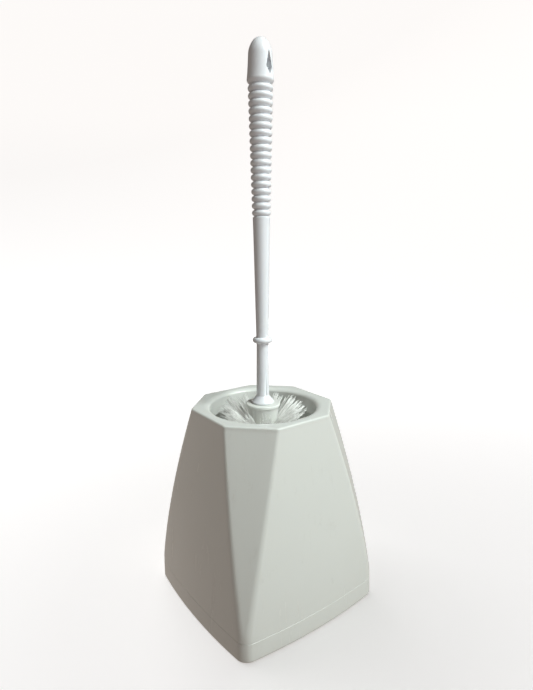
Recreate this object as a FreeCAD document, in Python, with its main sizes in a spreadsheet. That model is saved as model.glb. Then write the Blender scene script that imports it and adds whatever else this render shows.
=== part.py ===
import FreeCAD, Part
import math
import os

import Sketcher

# Toilet brush in a flared holder, in millimetres.
# +Z is up and the origin is the centre of the foot, on the floor.
# The holder's four broad sides face +X, -X, +Y and -Y, and its facets lie between them.

SIZES = {
    # Holder, outside
    "holder_height": 150.6,
    "foot_half_width": 64.8,
    "mouth_half_width": 48.4,
    "foot_bulge": 4.3,
    "mouth_bulge": 0.4,
    "foot_corner_round": 8.9,
    "mouth_corner_round": 3.7,
    "facet_foot_cut": 6.6,
    "facet_mouth_cut": 18.6,
    "facet_tip_width": 0.5,
    "flare_power": 1.54,
    "facet_power": 1.15,
    # Holder, shell and mouth
    "shell_wall": 2.2,
    "deck_thickness": 2.6,
    "deck_edge_round": 1.5,
    "deck_width": 8.7,
    "lip_depth": 14.0,
    "lip_wall": 2.2,
    "lip_round": 2.8,
    # Base tray
    "parting_height": 14.6,
    "parting_gap": 0.3,
    "tray_floor": 2.4,
    "tray_foot_round": 1.6,
    "rim_height": 9.0,
    "rim_wall": 1.8,
    "rim_clearance": 0.3,
    "cup_clearance": 8.3,
    "cup_wall": 1.8,
    "cup_height": 14.0,
    # Handle
    "brush_top": 400.0,
    "handle_turn": 10.0,
    "tip_radius": 8.0,
    "tip_crown_radius": 6.2,
    "tip_crown_angle": 50.0,
    "tip_foot_radius": 9.0,
    "tip_band_radius": 9.1,
    "tip_length": 25.8,
    "tip_band_half_height": 2.6,
    "ring_count": 18,
    "ring_pitch": 4.7,
    "ring_half_height": 2.1,
    "ring_depth": 1.65,
    "first_ring_drop": 5.3,
    "first_ring_radius": 8.5,
    "last_ring_radius": 6.55,
    "shaft_top_radius": 6.1,
    "shaft_foot_radius": 4.5,
    "shaft_step": 0.9,
    "stem_length": 47.3,
    "collar_radius": 7.1,
    "collar_half_height": 2.1,
    "stem_radius": 4.3,
    "stem_foot_radius": 4.7,
    "skirt_radius": 8.5,
    "skirt_height": 5.6,
    "skirt_edge": 0.9,
    "slot_drop": 8.6,
    "slot_length": 15.3,
    "slot_belly_rise": 5.1,
    "slot_half_width": 2.5,
    "flute_radius": 0.95,
    "flute_depth": 0.75,
    "flute_length": 22.4,
    "flute_turn": -15.0,
    "spigot_radius": 5.0,
    "spigot_length": 16.0,
    "spigot_clearance": 0.08,
    # Brush head
    "cap_top": 151.8,
    "cap_radius": 12.95,
    "cap_thickness": 2.6,
    "cap_gap": 0.2,
    "barrel_top_radius": 12.0,
    "barrel_foot_radius": 10.1,
    "barrel_height": 14.5,
    "core_radius": 8.6,
    "barrel_step": 1.5,
    "cap_edge_round": 0.85,
    "core_bottom": 36.0,
    "core_end_round": 2.0,
    "socket_end_gap": 1.5,
    # Bristles
    "row_count": 10,
    "tufts_per_row": 12,
    "top_row_drop": 4.3,
    "bottom_row_rise": 9.0,
    "row_lean": 38.0,
    "bristle_clearance": 8.2,
    "tuft_root_radius": 1.3,
    "tuft_tip_radius": 4.8,
    "tuft_hole_depth": 2.2,
    "tuft_clearance": 0.05,
    "staple_thickness": 0.4,
    "staple_width": 2.2,
    "staple_height": 0.9,
    "end_tufts": 6,
    "end_tuft_ring": 4.6,
    "end_tuft_lean": 20.0,
    "end_tuft_rest_gap": 0.3,
    "end_tuft_tip_radius": 2.9,
}

# Sections in each loft, less one
SHELL_STEPS = 6
TRAY_STEPS = 2

# How far a cut runs past what it cuts, as a share of that
SLOT_OVERRUN = 2
FLUTE_OVERRUN = 1.5

# A sketch's names for its points and its own axes
START = 1
END = 2
CENTRE = 3
H_AXIS = -1
V_AXIS = -2
ORIGIN = (-1, 1)

UP = FreeCAD.Vector(0, 0, 1)
LEVEL = 0.001

doc = FreeCAD.newDocument("toilet_brush")
sheet = doc.addObject("Spreadsheet::Sheet", "Sizes")
for row, (alias, number) in enumerate(SIZES.items(), start=1):
    sheet.set(f"A{row}", alias)
    sheet.set(f"B{row}", str(number))
    sheet.setAlias(f"B{row}", alias)
doc.recompute()


class Size:
    """A number together with the sheet expression that gives it."""

    def __init__(self, value, text):
        self.value = float(value)
        self.text = text

    def __add__(self, other):
        other = as_size(other)
        return Size(self.value + other.value, f"({self.text} + {other.text})")

    def __radd__(self, other):
        return as_size(other) + self

    def __sub__(self, other):
        other = as_size(other)
        return Size(self.value - other.value, f"({self.text} - {other.text})")

    def __rsub__(self, other):
        return as_size(other) - self

    def __mul__(self, other):
        other = as_size(other)
        return Size(self.value * other.value, f"({self.text} * {other.text})")

    def __rmul__(self, other):
        return as_size(other) * self

    def __truediv__(self, other):
        other = as_size(other)
        return Size(self.value / other.value, f"({self.text} / {other.text})")

    def __neg__(self):
        return Size(-self.value, f"(0 - {self.text})")


def as_size(thing):
    """A plain number as a Size, and a Size as it is."""
    return thing if isinstance(thing, Size) else Size(thing, repr(float(thing)))


def size(alias):
    """The named cell of the sheet."""
    return Size(sheet.get(alias), f"Sizes.{alias}")


def count(alias):
    """The named cell of the sheet, as a whole number."""
    return int(sheet.get(alias))


def power(base, exponent):
    return Size(base.value ** exponent.value, f"pow({base.text}; {exponent.text})")


def root(radicand):
    return Size(math.sqrt(radicand.value), f"sqrt({radicand.text})")


def cosine(degrees):
    return Size(math.cos(math.radians(degrees.value)), f"cos({degrees.text} * 1 deg)")


def sine(degrees):
    return Size(math.sin(math.radians(degrees.value)), f"sin({degrees.text} * 1 deg)")


# Sizes and places that more than one piece uses


def mouth_radius():
    return size("mouth_half_width") - size("deck_width")


def handle_seat():
    """The height of the handle's skirt, just clear of the cap."""
    return size("cap_top") + size("cap_gap")


def bristle_radius():
    """Where the side tufts' axes end, clear of the mouth."""
    return mouth_radius() - size("bristle_clearance")


def end_tuft_length():
    """From the core's end to just clear of the tray's floor."""
    return size("core_bottom") - size("tray_floor") - size("end_tuft_rest_gap")


def cup_radius():
    """The cup ring's inside, clear of the end tufts' tips."""
    lean = size("end_tuft_lean")
    reach = size("end_tuft_ring") + end_tuft_length() * sine(lean)
    return reach + size("end_tuft_tip_radius") * cosine(lean) + size("cup_clearance")


# Document helpers


def new_body(label):
    """An empty body that may hold separate solids, named for its node."""
    body = doc.addObject("PartDesign::Body", label)
    body.Label = label
    body.AllowCompound = True
    return body


def origin_item(body, role):
    """A plane or axis of the body's own origin, by its role."""
    return next(item for item in body.Origin.OriginFeatures if item.Role == role)


def upright_plane(body, name, turn):
    """The upright plane through Z that stands turned about Z from the XZ plane."""
    plane = body.newObject("PartDesign::Plane", f"{body.Label}_{name}")
    plane.AttachmentSupport = [(origin_item(body, "XZ_Plane"), "")]
    plane.MapMode = "FlatFace"
    about = FreeCAD.Rotation(FreeCAD.Vector(0, 1, 0), turn.value)
    plane.AttachmentOffset = FreeCAD.Placement(FreeCAD.Vector(), about)
    plane.setExpression("AttachmentOffset.Rotation.Angle", turn.text)
    return plane


def new_sketch(body, name, support, x=None, y=None, z=None, turn=None):
    """A sketch on a plane, moved to x, y, z in that plane's frame and turned about its normal."""
    sketch = body.newObject("Sketcher::SketchObject", name)
    sketch.AttachmentSupport = [(support, "")]
    sketch.MapMode = "FlatFace"
    moves = {"x": x, "y": y, "z": z}
    place = FreeCAD.Vector(*[move.value if move else 0.0 for move in moves.values()])
    angle = turn.value if turn else 0.0
    sketch.AttachmentOffset = FreeCAD.Placement(place, FreeCAD.Rotation(FreeCAD.Vector(0, 0, 1), angle))
    for axis, move in moves.items():
        if move:
            sketch.setExpression(f"AttachmentOffset.Base.{axis}", move.text)
    if turn:
        sketch.setExpression("AttachmentOffset.Rotation.Angle", turn.text)
    return sketch


def drive(sketch, amount, *constraint):
    """Add a dimension to the sketch and bind it to the sheet."""
    index = sketch.addConstraint(Sketcher.Constraint(*constraint, amount.value))
    sketch.setExpression(f"Constraints[{index}]", amount.text)


def fix_point(sketch, geometry, position, x, y):
    """Hold one point of the sketch at x, y from its origin."""
    for direction, amount in (("DistanceX", x), ("DistanceY", y)):
        drive(sketch, amount, direction, *ORIGIN, geometry, position)


def outline(sketch, corners):
    """A closed outline. Each corner is x, y and the radius of the convex arc that leaves it, if any."""
    points = [FreeCAD.Vector(as_size(x).value, as_size(y).value, 0) for x, y, _ in corners]
    total = len(points)
    ends = []
    for index, (_, _, radius) in enumerate(corners):
        start = points[index]
        finish = points[(index + 1) % total]
        if radius is None:
            sketch.addGeometry(Part.LineSegment(start, finish), False)
        else:
            sketch.addGeometry(arc_between(start, finish, radius.value), False)
        begins_here = sketch.getPoint(index, START).distanceToPoint(start) < LEVEL
        ends.append((START, END) if begins_here else (END, START))
    for index, (x, y, radius) in enumerate(corners):
        after = (index + 1) % total
        joint = Sketcher.Constraint("Coincident", index, ends[index][1], after, ends[after][0])
        sketch.addConstraint(joint)
        fix_point(sketch, index, ends[index][0], as_size(x), as_size(y))
        if radius is not None:
            drive(sketch, radius, "Radius", index)


def arc_between(start, finish, radius):
    """The short arc of a radius between two points, crowned to the left of the way it runs."""
    chord = finish - start
    half = chord.Length / 2
    crown = radius - math.sqrt(radius ** 2 - half ** 2)
    left = FreeCAD.Vector(-chord.y, chord.x, 0).normalize()
    return Part.Arc(start, start + chord * 0.5 + left * crown, finish)


def circle(sketch, x, y, radius):
    """A full circle whose centre and radius are bound to the sheet."""
    centre = FreeCAD.Vector(as_size(x).value, as_size(y).value, 0)
    index = sketch.addGeometry(Part.Circle(centre, UP, radius.value), False)
    fix_point(sketch, index, CENTRE, as_size(x), as_size(y))
    drive(sketch, radius, "Radius", index)


def turned(body, kind, name, sketch, axis):
    """A Revolution or a Groove of the sketch about one of its own axes."""
    feature = body.newObject(f"PartDesign::{kind}", name)
    feature.Profile = (sketch, [""])
    feature.ReferenceAxis = (sketch, [axis])
    feature.Angle = 360.0
    body.Tip = feature
    return feature


def extruded(body, kind, name, sketch, length, both_ways=False):
    """A Pad or a Pocket of the sketch by a length."""
    feature = body.newObject(f"PartDesign::{kind}", name)
    feature.Profile = (sketch, [""])
    feature.Midplane = both_ways
    feature.setExpression("Length", length.text)
    body.Tip = feature
    return feature


def lofted(body, kind, name, sections):
    """An AdditiveLoft or a SubtractiveLoft through the sections, from the lowest up."""
    feature = body.newObject(f"PartDesign::{kind}", name)
    feature.Profile = (sections[0], [""])
    feature.Sections = [(section, [""]) for section in sections[1:]]
    feature.Ruled = False
    body.Tip = feature
    return feature


def repeated_round(body, name, features, occurrences):
    """Copies of features, evenly spaced about Z."""
    pattern = body.newObject("PartDesign::PolarPattern", name)
    pattern.Originals = features
    pattern.Axis = (origin_item(body, "Z_Axis"), [""])
    pattern.Angle = 360.0
    pattern.Occurrences = occurrences
    body.Tip = pattern
    return pattern


def rounded(body, name, base, wanted, radius):
    """A fillet on the edges of the base feature that the test picks."""
    doc.recompute()
    edges = enumerate(base.Shape.Edges, start=1)
    names = [f"Edge{index}" for index, edge in edges if wanted(edge)]
    if not names:
        raise RuntimeError(f"{name} found no edge to round")
    feature = body.newObject("PartDesign::Fillet", name)
    feature.Base = (base, names)
    feature.Radius = radius.value
    feature.setExpression("Radius", radius.text)
    body.Tip = feature
    return feature


def lies_level(edge, height):
    """Whether the whole edge is at one height."""
    box = edge.BoundBox
    return abs(box.ZMin - height) < LEVEL and abs(box.ZMax - height) < LEVEL


def is_ring(edge, height, radius):
    """Whether the edge is a full circle about Z."""
    if not lies_level(edge, height) or edge.Curve.TypeId != "Part::GeomCircle":
        return False
    return abs(edge.Curve.Radius - radius) < LEVEL


# The holder's section has four slightly bulging sides, joined by flat facets with a rounded
# corner at each end. Towards the foot each facet narrows to a tip.


def section_sizes(height):
    """Half width, side bulge, corner round and the facet's distance from the axis at a height.

    The facet is cut back from the corner where the flat planes of two sides would meet.
    """
    share = height / size("holder_height")
    flare = power(share, size("flare_power"))
    widening = power(share, size("facet_power"))

    def between(low, high, amount):
        return size(low) - (size(low) - size(high)) * amount

    half_width = between("foot_half_width", "mouth_half_width", flare)
    return (
        half_width,
        between("foot_bulge", "mouth_bulge", share),
        between("foot_corner_round", "mouth_corner_round", share),
        half_width * root(as_size(2)) - between("facet_foot_cut", "facet_mouth_cut", widening),
    )


def corner_place(side_radius, side_offset, corner, facet_distance):
    """The corner rounds' centres, along and across the diagonal, and whether there is a facet."""
    inner = side_radius - corner
    tip = size("facet_tip_width").value / (2 * math.sqrt(2))
    square = side_offset ** 2 - 2 * (tip ** 2 + (tip + side_offset) ** 2 - inner ** 2)
    tip_along = (math.sqrt(square) - side_offset) / 2
    along = (facet_distance - corner) / math.sqrt(2)
    if along >= tip_along:
        return tip_along, tip, False
    rest = inner ** 2 - 2 * along ** 2 - 2 * along * side_offset
    across = (math.sqrt(2 * rest - side_offset ** 2) - side_offset) / 2
    return along, across, True


def section_sketch(body, name, height, inset):
    """One closed section of the holder at a height, set in from the outside by the inset."""
    half_width, bulge, corner, facet_distance = section_sizes(height)
    reach = half_width - bulge
    side_radius = (reach * reach + bulge * bulge) / (2 * bulge)
    side_offset = side_radius - half_width
    along, across, has_facet = corner_place(
        side_radius.value, side_offset.value, corner.value, facet_distance.value
    )
    side = side_radius.value - inset.value
    turn = corner.value - inset.value
    first = FreeCAD.Vector(along - across, -along - across, 0)
    second = FreeCAD.Vector(along + across, -along + across, 0)
    meets = math.atan2(first.y - side_offset.value, first.x)
    outward = FreeCAD.Vector(turn / math.sqrt(2), -turn / math.sqrt(2), 0)

    def arc(centre, radius, start, finish, spin):
        centre = FreeCAD.Rotation(UP, math.degrees(spin)).multVec(centre)
        ring = Part.Circle(centre, UP, radius)
        sketch.addGeometry(Part.ArcOfCircle(ring, start + spin, finish + spin), False)

    sketch = new_sketch(body, name, origin_item(body, "XY_Plane"), z=height)
    for quarter in range(4):
        spin = quarter * math.pi / 2
        about = FreeCAD.Rotation(UP, math.degrees(spin))
        arc(FreeCAD.Vector(0, side_offset.value, 0), side, -math.pi - meets, meets, spin)
        arc(first, turn, meets, -math.pi / 4, spin)
        ends = [about.multVec(centre + outward) for centre in (first, second)]
        sketch.addGeometry(Part.LineSegment(*ends), False)
        arc(second, turn, -math.pi / 4, -math.pi / 2 - meets, spin)

    # Each quarter is a side, a round, a facet and a round
    edges = 16
    sides = range(0, edges, 4)
    facets = range(2, edges, 4)
    rounds = range(1, edges, 2)
    for index in range(edges):
        sketch.addConstraint(Sketcher.Constraint("Tangent", index, END, (index + 1) % edges, START))
    drive(sketch, side_radius - inset, "Radius", sides[0])
    drive(sketch, corner - inset, "Radius", rounds[0])
    for index in sides[1:]:
        sketch.addConstraint(Sketcher.Constraint("Equal", sides[0], index))
    for index in rounds[1:]:
        sketch.addConstraint(Sketcher.Constraint("Equal", rounds[0], index))
    for index, axis in zip(sides, (V_AXIS, H_AXIS, V_AXIS, H_AXIS)):
        sketch.addConstraint(Sketcher.Constraint("PointOnObject", index, CENTRE, axis))
    drive(sketch, side_offset, "DistanceY", *ORIGIN, sides[0], CENTRE)
    drive(sketch, side_offset, "DistanceX", sides[1], CENTRE, *ORIGIN)
    drive(sketch, side_offset, "DistanceY", sides[2], CENTRE, *ORIGIN)
    drive(sketch, side_offset, "DistanceX", *ORIGIN, sides[3], CENTRE)
    sketch.addConstraint(Sketcher.Constraint("Angle", facets[0], math.pi / 4))
    sketch.addConstraint(Sketcher.Constraint("Perpendicular", facets[0], facets[1]))
    sketch.addConstraint(Sketcher.Constraint("Parallel", facets[0], facets[2]))
    sketch.addConstraint(Sketcher.Constraint("Parallel", facets[1], facets[3]))
    for index in facets:
        if has_facet:
            drive(sketch, facet_distance - inset, "Distance", *ORIGIN, index)
        else:
            drive(sketch, size("facet_tip_width"), "Distance", index)
    return sketch


def section_loft(body, kind, name, low, high, inset, steps):
    """A loft of the holder's section between two heights."""
    sections = []
    for step in range(steps + 1):
        height = low + (high - low) * (step / steps)
        sections.append(section_sketch(body, f"{name}_section_{step}", height, inset))
    return lofted(body, kind, name, sections)


def make_holder_body():
    """The flared shell: open foot, flat deck, and a round mouth with a lip that turns down."""
    body = new_body("holder_body")
    top = size("holder_height")
    foot = size("parting_height")
    ceiling = top - size("deck_thickness")
    section_loft(body, "AdditiveLoft", "shell_outside", foot, top, as_size(0), SHELL_STEPS)
    section_loft(body, "SubtractiveLoft", "shell_inside", foot, ceiling, size("shell_wall"), SHELL_STEPS)

    lip_sketch = new_sketch(body, "lip_outline", origin_item(body, "XY_Plane"), z=top - size("lip_depth"))
    circle(lip_sketch, 0, 0, mouth_radius() + size("lip_wall"))
    extruded(body, "Pad", "lip", lip_sketch, size("lip_depth"))
    mouth_sketch = new_sketch(body, "mouth_outline", origin_item(body, "XY_Plane"), z=top)
    circle(mouth_sketch, 0, 0, mouth_radius())
    mouth = extruded(body, "Pocket", "mouth", mouth_sketch, size("lip_depth"))

    def on_mouth(edge):
        return is_ring(edge, top.value, mouth_radius().value)

    def on_deck_edge(edge):
        middle = edge.valueAt((edge.FirstParameter + edge.LastParameter) / 2)
        outside = math.hypot(middle.x, middle.y) > (mouth_radius() + size("lip_wall")).value
        return lies_level(edge, top.value) and outside

    lip_edge = rounded(body, "lip_edge", mouth, on_mouth, size("lip_round"))
    rounded(body, "deck_edge", lip_edge, on_deck_edge, size("deck_edge_round"))
    return body


def make_base_tray():
    """The tray that closes the foot: floor, rim that plugs the shell, and a cup for the brush."""
    body = new_body("base_tray")
    ground = as_size(0)
    floor = size("tray_floor")
    rim_top = size("parting_height") + size("rim_height")
    rim_inset = size("shell_wall") + size("rim_clearance")
    skin_top = size("parting_height") - size("parting_gap")
    section_loft(body, "AdditiveLoft", "tray_outside", ground, skin_top, ground, TRAY_STEPS)
    section_loft(body, "AdditiveLoft", "rim", floor, rim_top, rim_inset, TRAY_STEPS)
    inside_inset = rim_inset + size("rim_wall")
    section_loft(body, "SubtractiveLoft", "tray_inside", floor, rim_top, inside_inset, TRAY_STEPS)

    # The cup ring is rooted halfway down in the floor
    cup_root = floor / 2
    cup_sketch = new_sketch(body, "cup_outline", origin_item(body, "XY_Plane"), z=floor - cup_root)
    circle(cup_sketch, 0, 0, cup_radius())
    circle(cup_sketch, 0, 0, cup_radius() + size("cup_wall"))
    cup = extruded(body, "Pad", "cup", cup_sketch, size("cup_height") + cup_root)
    rounded(body, "foot_edge", cup, lambda edge: lies_level(edge, 0), size("tray_foot_round"))
    return body


def make_brush_handle():
    """The handle: domed tip with a hanging slot, ringed grip, shaft, collar, stem, skirt and spigot."""
    body = new_body("brush_handle")
    upright = origin_item(body, "XZ_Plane")
    top = size("brush_top")
    seat = handle_seat()
    band_height = top - size("tip_length")
    first_ring_height = band_height - size("first_ring_drop")
    collar_height = seat + size("stem_length")

    # The dome is two tangent arcs: a crown about the axis, then a rounder shoulder
    crown = size("tip_crown_radius")
    crown_edge = crown * sine(size("tip_crown_angle"))
    shoulder = (size("tip_radius") - crown_edge) / (1 - sine(size("tip_crown_angle")))
    crown_foot = top - crown + crown * cosine(size("tip_crown_angle"))
    dome_foot = crown_foot - shoulder * cosine(size("tip_crown_angle"))

    last_ring_height = first_ring_height - (count("ring_count") - 1) * size("ring_pitch")
    grip_foot = last_ring_height - size("ring_half_height")
    spigot_end = seat - size("spigot_length")
    profile = [
        (0, top, crown),
        (crown_edge, crown_foot, shoulder),
        (size("tip_radius"), dome_foot, None),
        (size("tip_foot_radius"), band_height, None),
        (size("first_ring_radius") - size("ring_depth"), band_height, None),
        (size("last_ring_radius") - size("ring_depth"), grip_foot, None),
        (size("shaft_top_radius"), grip_foot - size("shaft_step"), None),
        (size("shaft_foot_radius"), collar_height, None),
        (size("stem_radius"), collar_height, None),
        (size("stem_foot_radius"), seat + size("skirt_height"), None),
        (size("skirt_radius"), seat + size("skirt_edge"), None),
        (size("skirt_radius"), seat, None),
        (size("spigot_radius"), seat, None),
        (size("spigot_radius"), spigot_end, None),
        (0, spigot_end, None),
    ]
    profile_sketch = new_sketch(body, "handle_profile", upright)
    outline(profile_sketch, profile)
    turned(body, "Revolution", "handle_bar", profile_sketch, "V_Axis")

    rings_sketch = new_sketch(body, "ring_profiles", upright)
    band = size("tip_band_half_height")
    circle(rings_sketch, size("tip_band_radius") - band, band_height, band)
    half_height = size("ring_half_height")
    steps = count("ring_count") - 1
    for index in range(count("ring_count")):
        shrink = (size("first_ring_radius") - size("last_ring_radius")) * (index / steps)
        radius = size("first_ring_radius") - shrink
        height = first_ring_height - index * size("ring_pitch")
        circle(rings_sketch, radius - half_height, height, half_height)
    collar = size("collar_half_height")
    circle(rings_sketch, size("collar_radius") - collar, collar_height, collar)
    turned(body, "Revolution", "rings", rings_sketch, "V_Axis")

    # The hanging slot is a rounded kite: tangents from a top and a foot point to one circle
    slot_sketch = new_sketch(body, "slot_outline", origin_item(body, "YZ_Plane"))
    slot_outline(slot_sketch)
    slot_depth = size("tip_band_radius") * 2 * SLOT_OVERRUN
    extruded(body, "Pocket", "hanging_slot", slot_sketch, slot_depth, both_ways=True)

    # Each flute leans out, so that it fades out of the stem at its top
    flute_foot = seat + size("skirt_height")
    flute_out = size("stem_foot_radius") - size("flute_depth") + size("flute_radius")
    lean = size("flute_depth") / size("flute_length") * (180 / math.pi)
    flute_plane = upright_plane(body, "flute_plane", size("flute_turn"))
    flute_sketch = new_sketch(body, "flute_profile", flute_plane, x=flute_out, y=flute_foot, turn=-lean)
    flute_end = size("flute_length") * FLUTE_OVERRUN
    flute_profile = [
        (0, 0, None),
        (0, flute_end, None),
        (size("flute_radius"), flute_end, None),
        (size("flute_radius"), 0, None),
    ]
    outline(flute_sketch, flute_profile)
    flute = turned(body, "Groove", "flute", flute_sketch, "V_Axis")
    repeated_round(body, "flutes", [flute], 2)

    body.Placement = FreeCAD.Placement(FreeCAD.Vector(), FreeCAD.Rotation(UP, size("handle_turn").value))
    body.setExpression("Placement.Rotation.Angle", size("handle_turn").text)
    return body


def slot_outline(sketch):
    """Two arcs of one circle, with straight tangents from them to a top and a foot point."""
    slot_top = size("brush_top") - size("slot_drop")
    slot_foot = slot_top - size("slot_length")
    centre = slot_foot + size("slot_belly_rise")
    radius = size("slot_half_width")
    tangents = {}
    for name, tip in (("top", slot_top), ("foot", slot_foot)):
        reach = tip - centre
        height = centre + radius * radius / reach
        out = root(radius * radius - (height - centre) * (height - centre))
        tangents[name] = (out, height, tip)
    top_out, top_height, top_tip = tangents["top"]
    foot_out, foot_height, foot_tip = tangents["foot"]
    outline(sketch, [
        (0, top_tip, None),
        (top_out, top_height, radius),
        (foot_out, foot_height, None),
        (0, foot_tip, None),
        (-foot_out, foot_height, radius),
        (-top_out, top_height, None),
    ])


# Bristle rows. Row 0 is the highest. Each tuft stands in a hole in the core, with a staple
# across the bottom of the hole, and every second row is turned by half a pitch.


def row_place(index):
    """A row's height on the core and its lean above the level."""
    share = index / (count("row_count") - 1)
    top = size("cap_top") - size("barrel_height") - size("barrel_step") - size("top_row_drop")
    bottom = size("core_bottom") + size("bottom_row_rise")
    height = top - (top - bottom) * share
    lean = size("row_lean") - size("row_lean") * 2 * share
    return height, lean


def row_plane(body, index):
    """The upright plane that a row's first tuft lies in."""
    if index % 2 == 0:
        return origin_item(body, "XZ_Plane")
    return upright_plane(body, f"row_{index}_plane", as_size(180 / count("tufts_per_row")))


def tuft_outline(sketch, length, tip_radius):
    """Half a tuft, from its root in the hole to its tip."""
    root_end = -(size("tuft_hole_depth") - size("staple_thickness") - 2 * size("tuft_clearance"))
    outline(sketch, [
        (root_end, 0, None),
        (root_end, size("tuft_root_radius"), None),
        (0, size("tuft_root_radius"), None),
        (length, tip_radius, None),
        (length, 0, None),
    ])


def hole_outline(sketch):
    """Half a tuft hole, from its bottom to just outside the core."""
    radius = size("tuft_root_radius") + size("tuft_clearance")
    outside = radius * 2
    outline(sketch, [
        (-size("tuft_hole_depth"), 0, None),
        (-size("tuft_hole_depth"), radius, None),
        (outside, radius, None),
        (outside, 0, None),
    ])


def staple_outline(sketch):
    """A staple's section across the hole's bottom."""
    low = size("tuft_clearance") - size("tuft_hole_depth")
    high = low + size("staple_thickness")
    half = size("staple_height") / 2
    outline(sketch, [(low, -half, None), (low, half, None), (high, half, None), (high, -half, None)])


def row_sketch(body, index):
    """The one sketch of a row, in the frame of its first tuft."""
    height, lean = row_place(index)
    name = f"{body.Label}_{index}_profile"
    return new_sketch(body, name, row_plane(body, index), x=size("core_radius"), y=height, turn=lean)


def end_sketches(body):
    """The sketches of the end's ring of tufts and of its middle tuft."""
    upright = origin_item(body, "XZ_Plane")
    out = size("end_tuft_ring")
    foot = size("core_bottom")
    down = as_size(-90)
    lean = down + size("end_tuft_lean")
    ring = new_sketch(body, f"{body.Label}_ring_profile", upright, x=out, y=foot, turn=lean)
    middle = new_sketch(body, f"{body.Label}_middle_profile", upright, y=foot, turn=down)
    return ring, middle


def make_brush_head():
    """The head: cap flange, tapered barrel and core, with a socket and the tuft holes."""
    body = new_body("brush_head")
    top = size("cap_top")
    socket = size("spigot_radius") + size("spigot_clearance")
    socket_end = handle_seat() - size("spigot_length") - size("socket_end_gap")
    barrel_foot = top - size("barrel_height")
    profile_sketch = new_sketch(body, "head_profile", origin_item(body, "XZ_Plane"))
    outline(profile_sketch, [
        (0, socket_end, None),
        (socket, socket_end, None),
        (socket, top, None),
        (size("cap_radius"), top, None),
        (size("cap_radius"), top - size("cap_thickness"), None),
        (size("barrel_top_radius"), top - size("cap_thickness"), None),
        (size("barrel_foot_radius"), barrel_foot, None),
        (size("core_radius"), barrel_foot - size("barrel_step"), None),
        (size("core_radius"), size("core_bottom") + size("core_end_round"), None),
        (size("core_radius") - size("core_end_round"), size("core_bottom"), None),
        (0, size("core_bottom"), None),
    ])
    head = turned(body, "Revolution", "head_bar", profile_sketch, "V_Axis")

    def on_cap(edge):
        heights = (top.value, (top - size("cap_thickness")).value)
        return any(is_ring(edge, height, size("cap_radius").value) for height in heights)

    rounded(body, "cap_edges", head, on_cap, size("cap_edge_round"))
    for index in range(count("row_count")):
        sketch = row_sketch(body, index)
        hole_outline(sketch)
        hole = turned(body, "Groove", f"row_{index}_hole", sketch, "H_Axis")
        repeated_round(body, f"row_{index}_holes", [hole], count("tufts_per_row"))
    ring, middle = end_sketches(body)
    hole_outline(ring)
    hole_outline(middle)
    ring_hole = turned(body, "Groove", "end_ring_hole", ring, "H_Axis")
    repeated_round(body, "end_ring_holes", [ring_hole], count("end_tufts"))
    turned(body, "Groove", "end_middle_hole", middle, "H_Axis")
    return body


def make_bristle_row(index):
    """One row of tufts, each a cone that stands for its spreading fibres."""
    body = new_body(f"bristle_row_{index + 1:02d}")
    _, lean = row_place(index)
    sketch = row_sketch(body, index)
    length = (bristle_radius() - size("core_radius")) / cosine(lean)
    tuft_outline(sketch, length, size("tuft_tip_radius"))
    tuft = turned(body, "Revolution", "tuft", sketch, "H_Axis")
    repeated_round(body, "tufts", [tuft], count("tufts_per_row"))
    return body


def make_bristle_end():
    """The tufts on the core's lower end: a ring that leans out, round one that points down."""
    body = new_body("bristle_end")
    ring, middle = end_sketches(body)
    tuft_outline(ring, end_tuft_length(), size("end_tuft_tip_radius"))
    tuft_outline(middle, end_tuft_length(), size("end_tuft_tip_radius"))
    tuft = turned(body, "Revolution", "ring_tuft", ring, "H_Axis")
    repeated_round(body, "ring_tufts", [tuft], count("end_tufts"))
    turned(body, "Revolution", "middle_tuft", middle, "H_Axis")
    return body


def make_staple_row(index):
    """The flat staples of one row, one across the bottom of each tuft hole."""
    body = new_body(f"staples_row_{index + 1:02d}")
    sketch = row_sketch(body, index)
    staple_outline(sketch)
    staple = extruded(body, "Pad", "staple", sketch, size("staple_width"), both_ways=True)
    repeated_round(body, "staples", [staple], count("tufts_per_row"))
    return body


def make_staple_end():
    """The staples of the end tufts."""
    body = new_body("staples_end")
    ring, middle = end_sketches(body)
    staple_outline(ring)
    staple_outline(middle)
    staple = extruded(body, "Pad", "ring_staple", ring, size("staple_width"), both_ways=True)
    repeated_round(body, "ring_staples", [staple], count("end_tufts"))
    extruded(body, "Pad", "middle_staple", middle, size("staple_width"), both_ways=True)
    return body


def check_document(nodes):
    """Stop if any object failed or any node's shape is missing or not valid."""
    for item in doc.Objects:
        if "Invalid" in item.State or "Error" in item.State:
            raise RuntimeError(f"{item.Label} did not compute")
    for node in nodes:
        if node.Shape.isNull() or not node.Shape.isValid() or not node.Shape.Solids:
            raise RuntimeError(f"{node.Label} has no valid solid")


def main():
    nodes = [make_holder_body(), make_base_tray(), make_brush_handle(), make_brush_head()]
    rows = range(count("row_count"))
    nodes += [make_bristle_row(index) for index in rows] + [make_bristle_end()]
    nodes += [make_staple_row(index) for index in rows] + [make_staple_end()]
    doc.recompute()
    check_document(nodes)
    os.makedirs("parts", exist_ok=True)
    for node in nodes:
        node.Shape.exportStep(f"parts/{node.Label}.step")
        print(node.Label, len(node.Shape.Solids), "solids", round(node.Shape.Volume), "mm3")


main()
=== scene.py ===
import math

import bmesh
import bpy
from bpy.props import FloatProperty, FloatVectorProperty, IntProperty, PointerProperty
from mathutils import Matrix, Vector


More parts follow.
